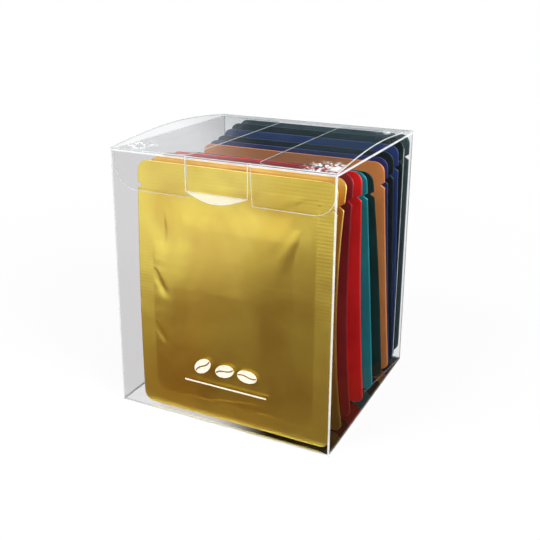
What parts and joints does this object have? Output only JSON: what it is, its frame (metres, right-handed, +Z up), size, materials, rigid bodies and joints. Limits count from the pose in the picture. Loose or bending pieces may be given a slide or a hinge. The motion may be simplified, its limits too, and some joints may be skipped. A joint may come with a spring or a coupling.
{
  "type": "clear folding box of drip coffee sachets",
  "caption": "Clear PET film folding box with a tuck-in lid, filled with a row of coloured foil drip-coffee sachets standing on edge.",
  "frame": {"origin": "under the middle of the whole object, on the surface it stands on", "axes": "+Z up, front wall with the tuck-in tongue towards -Y, +X to the viewer's right when facing the front wall"},
  "size_m": [0.1138, 0.1098, 0.1358],
  "materials": {
    "clear_film": "clear glossy PET film",
    "gold_foil": "satin metallised foil laminate",
    "maroon_foil": "satin metallised foil laminate",
    "red_foil": "satin metallised foil laminate",
    "teal_foil": "satin metallised foil laminate",
    "dark_green_foil": "satin metallised foil laminate",
    "orange_foil": "satin metallised foil laminate",
    "navy_foil": "satin metallised foil laminate",
    "black_foil": "satin metallised foil laminate",
    "blue_foil": "satin metallised foil laminate",
    "slate_foil": "satin metallised foil laminate"
  },
  "bodies": {
    "carton": {"carton_body": "clear_film", "gold_sachet_1": "gold_foil", "gold_sachet_2": "gold_foil", "maroon_sachet": "maroon_foil", "red_sachet": "red_foil", "teal_sachet": "teal_foil", "dark_green_sachet": "dark_green_foil", "orange_sachet": "orange_foil", "navy_sachet": "navy_foil", "black_sachet_1": "black_foil", "blue_sachet": "blue_foil", "black_sachet_2": "black_foil", "slate_sachet": "slate_foil"},
    "lid": {"lid": "clear_film"}
  },
  "joints": [
    {"name": "lid_hinge", "type": "hinge", "parent": "carton", "child": "lid", "pos_m": [0, 0.05495, 0.13145], "axis": [-1, 0, 0], "range_deg": [0, 115]}
  ]
}
